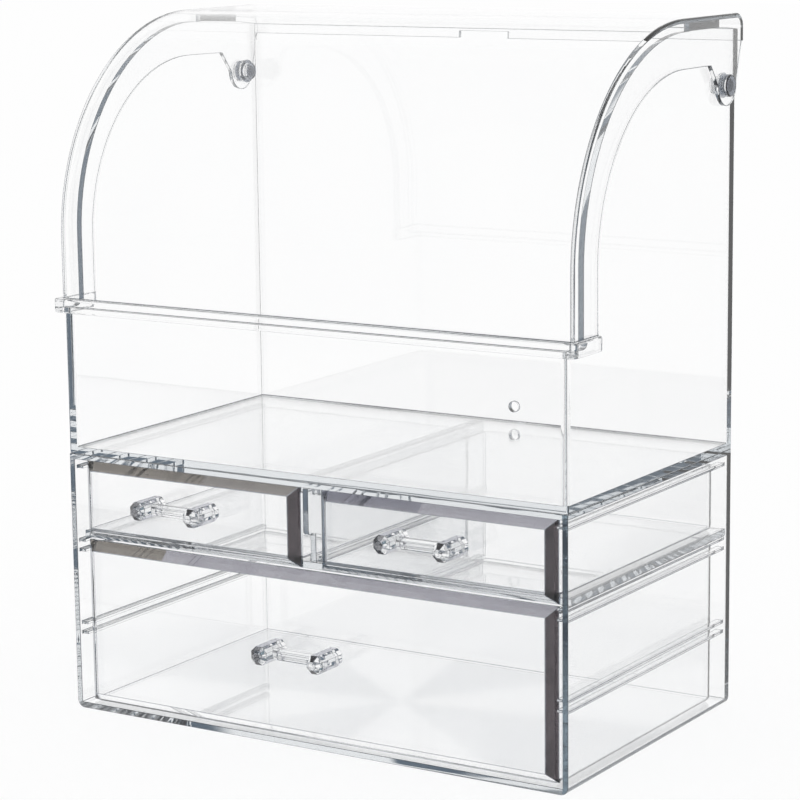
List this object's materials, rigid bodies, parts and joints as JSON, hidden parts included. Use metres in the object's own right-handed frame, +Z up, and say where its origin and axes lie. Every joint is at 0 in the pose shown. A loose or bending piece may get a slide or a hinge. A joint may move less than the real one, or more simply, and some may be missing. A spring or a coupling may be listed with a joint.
{
  "type": "makeup organizer",
  "caption": "Clear dustproof makeup organizer: a drawer cabinet with bevelled fronts under a display case that a curved hood swings up and over.",
  "frame": {"origin": "middle of the cabinet's underside, on the surface it stands on", "axes": "+X to the right seen from the front, +Y to the back, +Z up; drawers pull out towards -Y"},
  "size_m": [0.2494, 0.164, 0.2932],
  "materials": {
    "cabinet_clear": "polished clear polystyrene, very faint cool grey",
    "case_clear": "polished clear polystyrene",
    "hood_clear": "polished clear polystyrene, thin",
    "drawer_clear": "polished clear polystyrene, thick bevelled fronts",
    "handle_clear": "polished clear plastic with cut facets",
    "hinge_clear": "polished clear plastic"
  },
  "bodies": {
    "case": {"cabinet_shell": "cabinet_clear", "mid_shelf": "cabinet_clear", "centre_divider": "cabinet_clear", "upper_case": "case_clear", "hinge_pin_left": "hinge_clear", "hinge_pin_right": "hinge_clear", "hinge_cap_left": "hinge_clear", "hinge_cap_right": "hinge_clear"},
    "cover": {"hood": "hood_clear"},
    "left_drawer": {"drawer_left": "drawer_clear", "handle_left": "handle_clear"},
    "right_drawer": {"drawer_right": "drawer_clear", "handle_right": "handle_clear"},
    "large_drawer": {"drawer_large": "drawer_clear", "handle_large": "handle_clear"}
  },
  "joints": [
    {"name": "hood_hinge", "type": "hinge", "parent": "case", "child": "cover", "pos_m": [0, 0.06, 0.2643], "axis": [-1, 0, 0], "range_deg": [0, 108]},
    {"name": "left_drawer_slide", "type": "slide", "parent": "case", "child": "left_drawer", "axis": [0, -1, 0], "range_m": [0, 0.105]},
    {"name": "right_drawer_slide", "type": "slide", "parent": "case", "child": "right_drawer", "axis": [0, -1, 0], "range_m": [0, 0.105]},
    {"name": "large_drawer_slide", "type": "slide", "parent": "case", "child": "large_drawer", "axis": [0, -1, 0], "range_m": [0, 0.105]}
  ]
}
